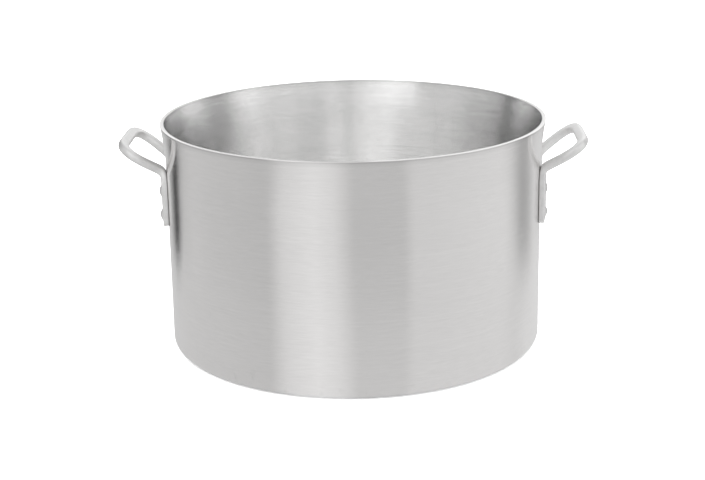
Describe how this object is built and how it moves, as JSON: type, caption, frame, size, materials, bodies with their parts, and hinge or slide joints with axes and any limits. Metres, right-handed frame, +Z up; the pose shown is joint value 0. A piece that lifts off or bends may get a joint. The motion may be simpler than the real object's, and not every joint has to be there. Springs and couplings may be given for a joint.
{
  "type": "stock pot",
  "caption": "Low, wide aluminium cooking pot with straight sides, a slightly flared rim and riveted loop handles on opposite sides.",
  "frame": {"origin": "centre of the base, on the plane the pot stands on", "axes": "+Z up out of the mouth; the handles stand out along -X and +X; -Y is the front"},
  "size_m": [0.4702, 0.3886, 0.231],
  "materials": {
    "shell_aluminium": "turned satin, fine lines round the pot",
    "handle_aluminium": "cast, satin",
    "rivet_aluminium": "pressed, satin"
  },
  "bodies": {
    "root": {"pot_body": "shell_aluminium", "handle_left": "handle_aluminium", "handle_right": "handle_aluminium", "rivet_left_front_upper": "rivet_aluminium", "rivet_left_front_lower": "rivet_aluminium", "rivet_left_rear_upper": "rivet_aluminium", "rivet_left_rear_lower": "rivet_aluminium", "rivet_right_front_upper": "rivet_aluminium", "rivet_right_front_lower": "rivet_aluminium", "rivet_right_rear_upper": "rivet_aluminium", "rivet_right_rear_lower": "rivet_aluminium"}
  },
  "joints": []
}
